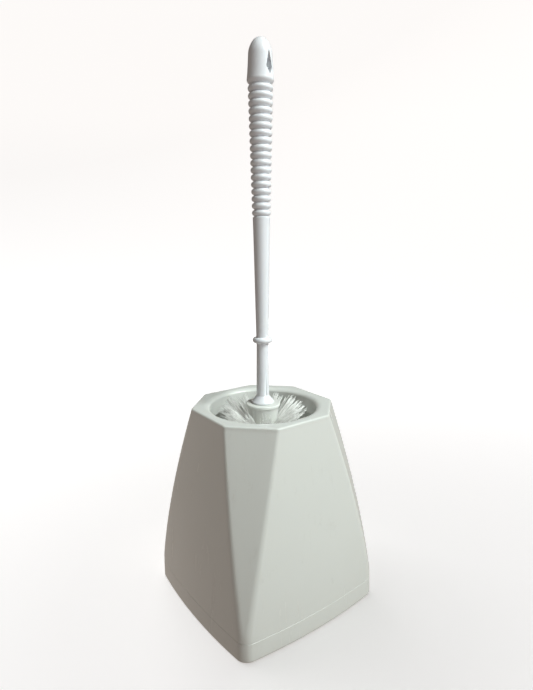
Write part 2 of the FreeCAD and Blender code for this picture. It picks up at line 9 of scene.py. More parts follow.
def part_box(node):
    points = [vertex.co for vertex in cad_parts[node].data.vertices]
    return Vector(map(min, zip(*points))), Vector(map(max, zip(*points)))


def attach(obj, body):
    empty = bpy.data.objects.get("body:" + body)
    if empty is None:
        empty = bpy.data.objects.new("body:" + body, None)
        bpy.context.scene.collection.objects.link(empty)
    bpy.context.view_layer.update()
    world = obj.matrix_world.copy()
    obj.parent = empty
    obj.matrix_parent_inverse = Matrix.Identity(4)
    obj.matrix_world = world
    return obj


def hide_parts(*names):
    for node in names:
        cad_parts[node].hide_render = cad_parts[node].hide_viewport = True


bl_info = {
    "name": "Toilet brush and holder",
    "version": (1, 0, 0),
    "blender": (4, 5, 0),
    "location": "3D View > Sidebar > Brush",
    "description": "Makes a ringed brush in a flared holder, with its finishes and a studio round it",
    "category": "Object",
}

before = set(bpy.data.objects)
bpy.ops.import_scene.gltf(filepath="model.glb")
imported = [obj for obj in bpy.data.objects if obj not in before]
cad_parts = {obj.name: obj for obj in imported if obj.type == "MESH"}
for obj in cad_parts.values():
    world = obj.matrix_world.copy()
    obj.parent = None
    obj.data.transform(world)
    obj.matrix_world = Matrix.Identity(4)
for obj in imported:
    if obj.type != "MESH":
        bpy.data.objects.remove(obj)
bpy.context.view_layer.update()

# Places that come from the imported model, in metres
TRAY_LOW, TRAY_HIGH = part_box("base_tray")
SHELL_LOW, SHELL_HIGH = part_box("holder_body")
HANDLE_LOW, HANDLE_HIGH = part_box("brush_handle")
HEAD_LOW, HEAD_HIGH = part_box("brush_head")
ROW_NAMES = sorted(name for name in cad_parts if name.startswith("bristle_row_"))
STAPLE_NAMES = sorted(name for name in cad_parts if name.startswith("staples_"))


def length(name, description, default, **more):
    """A property for a length in metres."""
    return FloatProperty(name=name, description=description, default=default, min=0.0, precision=5,
                         subtype="DISTANCE", unit="LENGTH", **more)


def angle(name, description, degrees):
    """A property for an angle, given in degrees and kept in radians."""
    return FloatProperty(name=name, description=description, default=math.radians(degrees), subtype="ANGLE")


def colour(name, description, default):
    """A property for a surface or light colour."""
    return FloatVectorProperty(name=name, description=description, default=default, size=3,
                               min=0.0, max=1.0, subtype="COLOR")


def amount(name, description, default, **more):
    """A property for a plain number."""
    return FloatProperty(name=name, description=description, default=default, **more)


class HolderSettings(bpy.types.PropertyGroup):
    """Sizes of the flared shell and its tray"""

    foot_half_width: length("Foot half width", "Half the width across the foot", TRAY_HIGH.x)
    mouth_half_width: length("Mouth half width", "Half the width across the deck", 0.0484)
    foot_bulge: length("Foot bulge", "How far a side swells at the foot", 0.0043)
    mouth_bulge: length("Mouth bulge", "How far a side swells at the deck", 0.0004)
    foot_corner: length("Foot corner round", "Corner radius at the foot", 0.0089)
    mouth_corner: length("Mouth corner round", "Corner radius at the deck", 0.0037)
    foot_cut: length("Facet cut at the foot", "How deep the facet cuts the corner at the foot", 0.0066)
    mouth_cut: length("Facet cut at the mouth", "How deep the facet cuts the corner at the deck", 0.0186)
    facet_tip: length("Facet tip width", "The facet's width where it runs out", 0.0005)
    flare: amount("Flare", "Power of the flare from foot to deck", 1.54)
    facet_power: amount("Facet power", "Power of the facet's widening from foot to deck", 1.15)
    wall: length("Wall", "Thickness of the shell", 0.0022)
    deck: length("Deck", "Thickness of the deck", 0.0026)
    deck_edge: length("Deck edge round", "Radius of the deck's outer edge", 0.0015)
    mouth_radius: length("Mouth radius", "Radius of the round mouth", 0.0397)
    lip_depth: length("Lip depth", "How far the lip turns down", 0.014)
    lip_wall: length("Lip wall", "Thickness of the lip", 0.0022)
    lip_round: length("Lip round", "Depth of the mouth's rolled edge", 0.0028)
    lip_reach: length("Lip reach", "How far out the deck starts to roll into the mouth", 0.0046)
    tray_floor: length("Tray floor", "Thickness of the tray's floor", 0.0024)
    foot_round: length("Foot round", "Radius of the tray's lower edge", 0.0016)
    rim_inset: length("Rim inset", "How far the tray's rim stands in from its skin", 0.0025)
    rim_wall: length("Rim wall", "Thickness of the tray's rim", 0.0018)
    parting_gap: length("Parting gap", "Gap between tray and shell", 0.0003)
    parting_close: length("Parting close", "How far the shell's foot comes down into the gap", 0.00017)
    seam_round: length("Seam round", "How far the edges beside the parting line are broken", 0.00012)
    cup_radius: length("Cup radius", "Inside radius of the tray's cup ring", 0.027)
    cup_wall: length("Cup wall", "Thickness of the cup ring", 0.0018)
    cup_top: length("Cup top", "Height of the cup ring's top", 0.0164)


class HandleSettings(bpy.types.PropertyGroup):
    """Sizes of the ringed handle"""

    crown_radius: length("Crown radius", "Radius of the dome's top", 0.0062)
    crown_angle: angle("Crown angle", "How far the crown's arc runs", 50.0)
    tip_radius: length("Tip radius", "Radius at the dome's foot", 0.008)
    tip_length: length("Tip length", "From the top to the band's middle", 0.0258)
    band_radius: length("Band radius", "Radius of the band under the tip", 0.0091)
    band_half_height: length("Band half height", "Half the height of the band", 0.0026)
    rings: IntProperty(name="Rings", description="Number of grip rings", default=18, min=2)
    ring_pitch: length("Ring pitch", "From one ring to the next", 0.0047)
    ring_half_height: length("Ring half height", "Half the height of a ring", 0.0021)
    ring_depth: length("Ring depth", "Depth of the grooves", 0.00165)
    first_drop: length("First ring drop", "From the band to the first ring", 0.0053)
    first_radius: length("First ring radius", "Radius of the top ring", 0.0085)
    last_radius: length("Last ring radius", "Radius of the bottom ring", 0.00655)
    shaft_top: length("Shaft top radius", "Radius under the grip", 0.0061)
    shaft_foot: length("Shaft foot radius", "Radius at the collar", 0.0045)
    shaft_step: length("Shaft step", "Height of the slope under the grip", 0.0009)
    stem_length: length("Stem length", "From the skirt's foot to the collar", 0.0473)
    collar_radius: length("Collar radius", "Radius of the collar", 0.0071)
    collar_half_height: length("Collar half height", "Half the height of the collar", 0.0021)
    stem_top: length("Stem top radius", "Radius under the collar", 0.0043)
    stem_foot: length("Stem foot radius", "Radius above the skirt", 0.0047)
    skirt_radius: length("Skirt radius", "Radius of the skirt", 0.0085)
    skirt_height: length("Skirt height", "Height of the skirt", 0.0056)
    skirt_edge: length("Skirt edge", "Height of the skirt's straight edge", 0.0009)
    spigot_radius: length("Spigot radius", "Radius of the spigot", 0.005)
    spigot_length: length("Spigot length", "Length of the spigot", 0.016)
    turn: angle("Turn", "Which way the hanging slot faces", 10.0)
    slot_drop: length("Slot drop", "From the top to the slot", 0.0086)
    slot_length: length("Slot length", "Height of the slot", 0.0153)
    slot_rise: length("Slot belly rise", "From the slot's foot to its widest place", 0.0051)
    slot_half_width: length("Slot half width", "Half the slot's width", 0.0025)
    flute_turn: angle("Flute turn", "From the slot to the flutes", -15.0)
    flute_radius: length("Flute radius", "Radius of a flute", 0.00095)
    flute_depth: length("Flute depth", "Depth of a flute at its foot", 0.00095)
    flute_length: length("Flute length", "Height over which a flute fades out", 0.0224)


class BristleSettings(bpy.types.PropertyGroup):
    """The nylon tufts"""

    tufts: IntProperty(name="Tufts", description="Tufts in each row", default=12, min=3)
    fibres: IntProperty(name="Fibres", description="Fibres in each tuft", default=56, min=4)
    core_radius: length("Core radius", "Radius of the core that the tufts stand in", 0.0086)
    root_radius: length("Root radius", "Radius of a tuft at its root", 0.0012)
    root_depth: length("Root depth", "How deep a tuft stands in the core", 0.0016)
    reach: length("Reach", "Distance from the axis to the side tufts' tips", 0.0315)
    tip_radius: length("Tip radius", "Radius that a tuft spreads to", 0.0066)
    fibre_radius: length("Fibre radius", "Radius of a fibre", 0.00015)
    bend: length("Bend", "How far a fibre's tip may bend aside", 0.0010)
    trim: amount("Trim", "Unevenness of the fibres' lengths", 0.26, min=0.0, max=0.5)
    top_height: length("Top row height", "Height of the top row's roots", 0.1315)
    bottom_height: length("Bottom row height", "Height of the bottom row's roots", 0.045)
    lean: angle("Lean", "How far the top row leans up and the bottom row down", 38.0)
    end_count: IntProperty(name="End tufts", description="Tufts in the end ring", default=6, min=3)
    end_ring: length("End ring", "Radius of the end ring of tufts", 0.0046)
    end_lean: angle("End lean", "How far the end ring leans out", 20.0)
    end_tip: length("End tip radius", "Radius that an end tuft spreads to", 0.0034)
    seed: IntProperty(name="Seed", description="Seed of the fibres' scatter", default=7)


class FinishSettings(bpy.types.PropertyGroup):
    """Colours of the plastics"""

    holder: colour("Holder", "Off-white plastic of the holder", (0.772, 0.787, 0.755))
    handle: colour("Handle", "Cool white plastic of the handle", (0.83, 0.85, 0.88))
    head: colour("Head", "Off-white plastic of the brush head", (0.76, 0.775, 0.735))
    nylon: colour("Nylon", "Bristle filament", (0.96, 0.97, 0.935))
    grime: colour("Grime", "Faint marks on the holder", (0.36, 0.33, 0.27))
    staple: colour("Staple", "Staple wire", (0.72, 0.58, 0.30))


class StageSettings(bpy.types.PropertyGroup):
    """Camera, floor and lights"""

    distance: length("Distance", "From the axis to the camera, level", 0.3672)
    height: length("Height", "Camera height over the floor", 0.2718)
    bearing: angle("Bearing", "Camera's place round the object", 54.21)
    tilt: angle("Tilt", "How far the camera looks down", 11.75)
    pan: angle("Pan", "How far the camera looks to one side", -0.46)
    roll: angle("Roll", "How far the camera leans", -0.36)
    lens: amount("Lens", "Focal length in millimetres", 26.76)
    floor: colour("Floor", "Colour of the floor and backdrop", (0.90, 0.90, 0.90))
    sweep_start: length("Sweep start", "Radius of the flat floor", 1.7)
    sweep_radius: length("Sweep radius", "Radius of the curve from floor to wall", 0.9)
    wall_height: length("Wall height", "Height of the wall's top", 4.0)
    near_glow: amount("Near glow", "Light that the floor adds of its own round the object", 0.50, min=0.0)
    far_glow: amount("Far glow", "Light that the backdrop adds of its own further out", 0.86, min=0.0)
    room_low: colour("Room below", "Light that the room gives from below", (0.345, 0.295, 0.262))
    room_high: colour("Room above", "Light that the room gives from above", (0.13, 0.12, 0.112))


def settings(name):
    """One of the scene's settings groups."""
    return getattr(bpy.context.scene, name)


# Meshes


def object_from_mesh(name, mesh):
    """A new object in the scene that shows the mesh."""
    thing = bpy.data.objects.new(name, mesh)
    bpy.context.scene.collection.objects.link(thing)
    return thing


def smooth_by_angle(mesh, degrees=32.0):
    """Smooth shading that keeps edges sharper than the angle."""
    mesh.polygons.foreach_set("use_smooth", [True] * len(mesh.polygons))
    mesh.set_sharp_from_angle(angle=math.radians(degrees))
    mesh.update()


def skin_loops(name, loops, closed_ring=False):
    """A mesh through loops of points. Open ends are closed with a fan."""
    mesh = bmesh.new()
    rows = [[mesh.verts.new(point) for point in loop] for loop in loops]
    count = len(rows[0])
    pairs = list(zip(rows, rows[1:]))
    if closed_ring:
        pairs.append((rows[-1], rows[0]))
    for low, high in pairs:
        for index in range(count):
            after = (index + 1) % count
            mesh.faces.new((low[index], low[after], high[after], high[index]))
    if not closed_ring:
        for row, flip in ((rows[0], True), (rows[-1], False)):
            middle = mesh.verts.new(sum((vert.co for vert in row), Vector()) / count)
            for index in range(count):
                ends = (row[index], row[(index + 1) % count])
                mesh.faces.new((*(reversed(ends) if flip else ends), middle))
    bmesh.ops.recalc_face_normals(mesh, faces=mesh.faces)
    data = bpy.data.meshes.new(name)
    mesh.to_mesh(data)
    mesh.free()
    return data


def lathe(name, profile, segments):
    """A turned mesh from radius and height pairs whose ends lie on the axis."""
    inner = [pair for pair in profile if pair[0] > 1e-7]
    loops = []
    for radius, height in inner:
        turns = [2 * math.pi * index / segments for index in range(segments)]
        loops.append([Vector((radius * math.cos(a), radius * math.sin(a), height)) for a in turns])
    return skin_loops(name, loops)


def merged_copy(node_name, name):
    """A smooth-shaded copy of a CAD node's mesh with its loose triangles joined."""
    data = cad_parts[node_name].data.copy()
    data.name = name
    mesh = bmesh.new()
    mesh.from_mesh(data)
    bmesh.ops.remove_doubles(mesh, verts=mesh.verts, dist=1e-6)
    mesh.to_mesh(data)
    mesh.free()
    normals = data.attributes.get("custom_normal")
    if normals:
        data.attributes.remove(normals)
    smooth_by_angle(data)
    return data


def cut_away(target, cutters):
    """The target's mesh with the cutters taken out of it."""
    for cutter in cutters:
        cut = target.modifiers.new("cut", "BOOLEAN")
        cut.operation = "DIFFERENCE"
        cut.solver = "EXACT"
        cut.object = cutter
    graph = bpy.context.evaluated_depsgraph_get()
    result = bpy.data.meshes.new_from_object(target.evaluated_get(graph), depsgraph=graph)
    target.modifiers.clear()
    target.data = result
    for cutter in cutters:
        bpy.data.objects.remove(cutter)
    return result


def finish_piece(thing, body, slot, material, *nodes):
    """Gives a piece its finish, the CAD nodes that it stands for and the body that it rides on."""
    light_up(thing, body)
    thing.data.materials.clear()
    thing.data.materials.append(material)
    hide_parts(*nodes)
    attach(thing, body)


# The holder

# Points along each kind of edge of a section
SIDE_STEPS = 28
CORNER_STEPS = 7
FACET_STEPS = 8

# Small roundings that no property sets, in metres
EDGE_BREAK = 0.0004
LIP_FILLET = 0.0005
FLOOR_FILLET = 0.0015
CUP_FILLET = 0.001

# Radius of the last loop before the middle of the tray's floor
FLOOR_MIDDLE = 0.012


def section(holder, height, inset):
    """Points round the holder's section: four bulging sides, joined by facets with rounded ends."""
    share = height / SHELL_HIGH.z
    flare = max(share, 0.0) ** holder.flare
    half_width = holder.foot_half_width + (holder.mouth_half_width - holder.foot_half_width) * flare
    bulge = holder.foot_bulge + (holder.mouth_bulge - holder.foot_bulge) * share
    corner = holder.foot_corner + (holder.mouth_corner - holder.foot_corner) * share
    cut = holder.foot_cut + (holder.mouth_cut - holder.foot_cut) * max(share, 0.0) ** holder.facet_power
    reach = half_width - bulge
    side_radius = (reach ** 2 + bulge ** 2) / (2 * bulge)
    offset = side_radius - half_width
    inner = side_radius - corner

    tip = holder.facet_tip / (2 * math.sqrt(2))
    square = offset ** 2 - 2 * (tip ** 2 + (tip + offset) ** 2 - inner ** 2)
    tip_along = (math.sqrt(square) - offset) / 2
    along = (half_width * math.sqrt(2) - cut - corner) / math.sqrt(2)
    if along < tip_along:
        rest = inner ** 2 - 2 * along ** 2 - 2 * along * offset
        across = (math.sqrt(2 * rest - offset ** 2) - offset) / 2
    else:
        along = tip_along
        across = tip
    first = Vector((along - across, -along - across))
    second = Vector((along + across, -along + across))
    meets = math.atan2(first.y - offset, first.x)
    facet = -math.pi / 4
    quarter = []
    quarter += arc_points(Vector((0, offset)), side_radius - inset, -math.pi - meets, meets, SIDE_STEPS)
    quarter += arc_points(first, corner - inset, meets, facet, CORNER_STEPS)
    start = first + (corner - inset) * Vector((math.cos(facet), math.sin(facet)))
    end = second + (corner - inset) * Vector((math.cos(facet), math.sin(facet)))
    quarter += [start.lerp(end, step / FACET_STEPS) for step in range(FACET_STEPS)]
    quarter += arc_points(second, corner - inset, facet, -math.pi / 2 - meets, CORNER_STEPS)
    points = []
    for turn in range(4):
        spin = Matrix.Rotation(turn * math.pi / 2, 2)
        points += [(spin @ point).to_3d() + Vector((0, 0, height)) for point in quarter]
    return points


def arc_points(centre, radius, start, end, steps):
    """Points along an arc, without its last one."""
    turns = [start + (end - start) * step / steps for step in range(steps)]
    return [centre + radius * Vector((math.cos(turn), math.sin(turn))) for turn in turns]


def round_loop(guide, radius, height):
    """A circle whose points lie in the same directions as the guide's."""
    return [Vector((point.x, point.y, 0)).normalized() * radius + Vector((0, 0, height)) for point in guide]


def steps_between(low, high, count):
    """Even steps from low to high, with both ends."""
    return [low + (high - low) * index / count for index in range(count + 1)]


def make_shell_mesh(holder):
    """The shell as one closed ring of loops: inside, lip, mouth, deck and outside."""
    foot = SHELL_LOW.z - holder.parting_close
    top = SHELL_HIGH.z
    ceiling = top - holder.deck
    guide = section(holder, top, 0)
    inside = steps_between(foot + EDGE_BREAK, ceiling, 40)
    loops = [section(holder, height, holder.wall) for height in inside]
    lip_outer = holder.mouth_radius + holder.lip_wall
    lip_foot = top - holder.lip_depth
    lip = [
        (lip_outer + LIP_FILLET, ceiling), (lip_outer, ceiling - LIP_FILLET),
        (lip_outer, lip_foot + EDGE_BREAK), (lip_outer - EDGE_BREAK, lip_foot),
        (holder.mouth_radius + EDGE_BREAK, lip_foot), (holder.mouth_radius, lip_foot + EDGE_BREAK),
    ]
    loops += [round_loop(guide, radius, height) for radius, height in lip]
    roll = holder.lip_round
    for turn in steps_between(0, math.pi / 2, 12):
        radius = holder.mouth_radius + holder.lip_reach * (1 - math.cos(turn))
        loops.append(round_loop(guide, radius, top - roll + roll * math.sin(turn)))
    deck_edge = holder.deck_edge
    rolled = holder.mouth_radius + holder.lip_reach
    last = section(holder, top, deck_edge)
    for share in (0.25, 0.5, 0.75):
        ring = round_loop(guide, rolled, top)
        loops.append([a.lerp(b, share) for a, b in zip(ring, last)])
    for turn in steps_between(0, math.pi / 2, 8):
        inset = deck_edge * (1 - math.sin(turn))
        height = top - deck_edge + deck_edge * math.cos(turn)
        loop = section(holder, min(height, top - deck_edge) if turn else top, inset)
        loops.append([Vector((point.x, point.y, height)) for point in loop])
    seam = holder.seam_round
    outside = steps_between(top - deck_edge, foot + seam, 60)[1:]
    loops += [section(holder, height, 0) for height in outside]
    loops.append([Vector((p.x, p.y, foot)) for p in section(holder, foot, seam)])
    loops.append([Vector((p.x, p.y, foot)) for p in section(holder, foot, holder.wall - EDGE_BREAK)])
    return skin_loops("holder_shell", loops, closed_ring=True)


def make_tray_mesh(holder):
    """The tray as loops from the middle of its underside to the middle of its floor."""
    skin_top = SHELL_LOW.z - holder.parting_gap
    floor = holder.tray_floor
    rim_top = TRAY_HIGH.z
    foot_round = holder.foot_round
    centre = section(holder, 0, 0)

    def shrunk(share, height):
        return [Vector((p.x * share, p.y * share, height)) for p in centre]

    loops = [shrunk(0.3, 0), shrunk(0.7, 0)]
    for turn in steps_between(0, math.pi / 2, 6):
        inset = foot_round * (1 - math.sin(turn))
        height = foot_round * (1 - math.cos(turn))
        loops.append([Vector((p.x, p.y, height)) for p in section(holder, height, inset)])
    seam = holder.seam_round
    loops += [section(holder, height, 0) for height in steps_between(foot_round, skin_top - seam, 8)[1:]]
    loops.append([Vector((p.x, p.y, skin_top)) for p in section(holder, skin_top, seam)])
    loops.append(section(holder, skin_top, holder.rim_inset))
    rim_outside = steps_between(skin_top, rim_top - EDGE_BREAK, 4)[1:]
    loops += [section(holder, height, holder.rim_inset) for height in rim_outside]
    loops.append(section(holder, rim_top, holder.rim_inset + EDGE_BREAK))
    inside = holder.rim_inset + holder.rim_wall
    loops.append(section(holder, rim_top, inside - EDGE_BREAK))
    rim_inside = steps_between(rim_top - EDGE_BREAK, floor + FLOOR_FILLET, 6)
    loops += [section(holder, height, inside) for height in rim_inside]
    loops.append(section(holder, floor, inside + FLOOR_FILLET))
    outer = holder.cup_radius + holder.cup_wall
    bore = holder.cup_radius
    cup_top = holder.cup_top
    ring = [
        (outer + CUP_FILLET, floor), (outer, floor + CUP_FILLET), (outer, cup_top - EDGE_BREAK),
        (outer - EDGE_BREAK, cup_top), (bore + EDGE_BREAK, cup_top), (bore, cup_top - EDGE_BREAK),
        (bore, floor + CUP_FILLET), (bore - CUP_FILLET, floor), (FLOOR_MIDDLE, floor),
    ]
    loops += [round_loop(centre, radius, height) for radius, height in ring]
    return skin_loops("holder_tray", loops)


# The handle

HANDLE_SEGMENTS = 72

# Small steps in the handle's outline, in metres
HAIR = 0.0001
SOFT_EDGE = 0.0005

# First turn of the crown's arc, in radians. The fan round the axis covers what is left.
CROWN_START = 0.06


def handle_profile(handle):
    """Radius and height pairs from the crown down to the spigot's end."""
    top = HANDLE_HIGH.z
    seat = HANDLE_LOW.z + handle.spigot_length
    band = top - handle.tip_length
    profile = []
    sine = math.sin(handle.crown_angle)
    cosine = math.cos(handle.crown_angle)
    shoulder = (handle.tip_radius - handle.crown_radius * sine) / (1 - sine)
    for turn in steps_between(CROWN_START, handle.crown_angle, 10):
        radius = handle.crown_radius * math.sin(turn)
        profile.append((radius, top - handle.crown_radius * (1 - math.cos(turn))))
    crown_foot = profile[-1][1]
    for turn in steps_between(handle.crown_angle, math.pi / 2, 8)[1:]:
        radius = handle.tip_radius - shoulder * (1 - math.sin(turn))
        profile.append((radius, crown_foot - shoulder * (cosine - math.cos(turn))))
    dome_foot = profile[-1][1]
    blend_top = band + handle.band_half_height * 0.27
    flare = handle.band_radius - handle.tip_radius - HAIR
    for share in steps_between(0, 1, 16)[1:]:
        height = dome_foot + (blend_top - dome_foot) * share
        profile.append((handle.tip_radius + flare * (0.8 * share + 0.2 * share ** 4), height))
    root = handle.first_radius - handle.ring_depth
    band_bead = bead(handle.band_radius, handle.band_half_height, band, handle.band_radius - HAIR, root)
    profile += band_bead[1:]
    shrink = (handle.first_radius - handle.last_radius) / (handle.rings - 1)
    for index in range(handle.rings):
        radius = handle.first_radius - shrink * index
        height = band - handle.first_drop - index * handle.ring_pitch
        root = radius - handle.ring_depth
        profile += bead(radius, handle.ring_half_height, height, root, root)
    grip_foot = height - handle.ring_half_height
    collar = seat + handle.stem_length
    shaft_top = grip_foot - handle.shaft_step
    profile.append((root, grip_foot))
    for share in (0.6, 1.0):
        radius = root + (handle.shaft_top - root) * share
        profile.append((radius, grip_foot - handle.shaft_step * share))
    shaft_foot = collar + handle.collar_half_height
    for share in steps_between(0, 1, 24)[1:-1]:
        radius = handle.shaft_top + (handle.shaft_foot - handle.shaft_top) * share ** 0.85
        profile.append((radius, shaft_top + (shaft_foot - shaft_top) * share))
    half_height = handle.collar_half_height
    profile += bead(handle.collar_radius, half_height, collar, handle.shaft_foot, handle.stem_top)
    stem_top = collar - handle.collar_half_height
    skirt_top = seat + handle.skirt_height
    for share in steps_between(0, 1, 14)[1:]:
        radius = handle.stem_top + (handle.stem_foot - handle.stem_top) * share
        profile.append((radius, stem_top + (skirt_top - stem_top) * share))
    out = handle.skirt_radius - handle.stem_foot
    fall = handle.skirt_height - handle.skirt_edge
    for share in (0.12, 0.3, 0.55, 0.8, 0.95):
        profile.append((handle.stem_foot + out * share, skirt_top - fall * share ** 0.9))
    skirt = handle.skirt_radius
    spigot = handle.spigot_radius
    profile += [
        (skirt - HAIR, seat + handle.skirt_edge), (skirt, seat + SOFT_EDGE),
        (skirt - 2 * HAIR, seat + HAIR), (skirt - SOFT_EDGE, seat),
        (spigot, seat), (spigot, HANDLE_LOW.z + SOFT_EDGE), (spigot - SOFT_EDGE, HANDLE_LOW.z),
    ]
    return profile


def bead(radius, half_height, height, above, below):
    """A round bead's outline, from where it meets the radius above it to the radius below it."""
    middle = radius - half_height
    high = math.acos(min(max((above - middle) / half_height, -1), 1))
    low = math.acos(min(max((below - middle) / half_height, -1), 1))
    turns = steps_between(high, -low, 12)
    return [(middle + half_height * math.cos(t), height + half_height * math.sin(t)) for t in turns]


def slot_cutter(handle):
    """A prism along X with a rounded kite section: the hanging slot."""
    top = HANDLE_HIGH.z - handle.slot_drop
    foot = top - handle.slot_length
    centre = foot + handle.slot_rise
    radius = handle.slot_half_width
    high = math.acos(radius / (top - centre))
    low = math.acos(radius / (centre - foot))
    turns = steps_between(high, math.pi - low, 8)
    right = [(radius * math.sin(turn), centre + radius * math.cos(turn)) for turn in turns]
    left = [(-across, height) for across, height in reversed(right)]
    outline = [(0, top), *right, (0, foot), *left]
    depth = handle.band_radius * 2
    loops = [[Vector((x, y, z)) for y, z in outline] for x in (-depth, depth)]
    return object_from_mesh("slot_cutter", skin_loops("slot_cutter", loops))


def flute_cutter(handle, side):
    """A thin rod that leans out of the stem, so that its cut fades out at the top."""
    foot = HANDLE_LOW.z + handle.spigot_length + handle.skirt_height
    out = handle.stem_foot - handle.flute_depth + handle.flute_radius
    lean = math.atan2(handle.flute_depth, handle.flute_length)
    radius = handle.flute_radius
    profile = [(SOFT_EDGE, 0), (radius, 0.0008), (radius, handle.flute_length * 1.5)]
    mesh = lathe("flute_cutter", profile, 20)
    place = Matrix.Rotation(handle.flute_turn + side * math.pi, 4, "Z")
    mesh.transform(place @ Matrix.Translation((out, 0, foot)) @ Matrix.Rotation(lean, 4, "Y"))
    return object_from_mesh("flute_cutter", mesh)


# Bristles


class TreeBuilder:
    """Short calls for the nodes of one geometry tree."""

    def __init__(self, tree):
        self.tree = tree

    def add(self, kind, inputs=None, **values):
        node = self.tree.nodes.new(kind)
        for name, value in values.items():
            setattr(node, name, value)
        for key, value in (inputs or {}).items():
            self.feed(node.inputs[key], value)
        return node

    def feed(self, socket, value):
        if isinstance(value, bpy.types.NodeSocket):
            self.tree.links.new(value, socket)
        else:
            socket.default_value = value

    def math(self, operation, first, second=0.0):
        node = self.add("ShaderNodeMath", operation=operation)
        self.feed(node.inputs[0], first)
        self.feed(node.inputs[1], second)
        return node.outputs[0]

    def vector(self, x, y, z):
        return self.add("ShaderNodeCombineXYZ", {"X": x, "Y": y, "Z": z}).outputs[0]

    def vector_math(self, operation, first, second):
        node = self.add("ShaderNodeVectorMath", operation=operation)
        self.feed(node.inputs[0], first)
        self.feed(node.inputs[1], second)
        return node.outputs[0]

    def scaled(self, vector, by):
        node = self.add("ShaderNodeVectorMath", operation="SCALE")
        self.feed(node.inputs[0], vector)
        self.feed(node.inputs["Scale"], by)
        return node.outputs[0]

    def random(self, low, high, seed, offset, index):
        node = self.add("FunctionNodeRandomValue", data_type="FLOAT")
        self.feed(node.inputs[2], low)
        self.feed(node.inputs[3], high)
        self.feed(node.inputs["ID"], index)
        self.feed(node.inputs["Seed"], self.math("ADD", seed, float(offset)))
        return node.outputs[1]

    def stored(self, geometry, name, kind, value):
        node = self.add("GeometryNodeStoreNamedAttribute", data_type=kind, domain="POINT")
        self.feed(node.inputs["Geometry"], geometry)
        self.feed(node.inputs["Name"], name)
        self.feed(node.inputs["Value"], value)
        return node.outputs[0]

    def named(self, name, kind):
        node = self.add("GeometryNodeInputNamedAttribute", data_type=kind)
        self.feed(node.inputs["Name"], name)
        return node.outputs[0]


TUFT_INPUTS = (
    ("Tufts", "NodeSocketInt"),
    ("Fibres", "NodeSocketInt"),
    ("Core Radius", "NodeSocketFloat"),
    ("Height", "NodeSocketFloat"),
    ("Lean", "NodeSocketFloat"),
    ("Stagger", "NodeSocketFloat"),
    ("Root Radius", "NodeSocketFloat"),
    ("Root Depth", "NodeSocketFloat"),
    ("Reach", "NodeSocketFloat"),
    ("Tip Radius", "NodeSocketFloat"),
    ("Fibre Radius", "NodeSocketFloat"),
    ("Bend", "NodeSocketFloat"),
    ("Trim", "NodeSocketFloat"),
    ("Seed", "NodeSocketInt"),
    ("Material", "NodeSocketMaterial"),
)


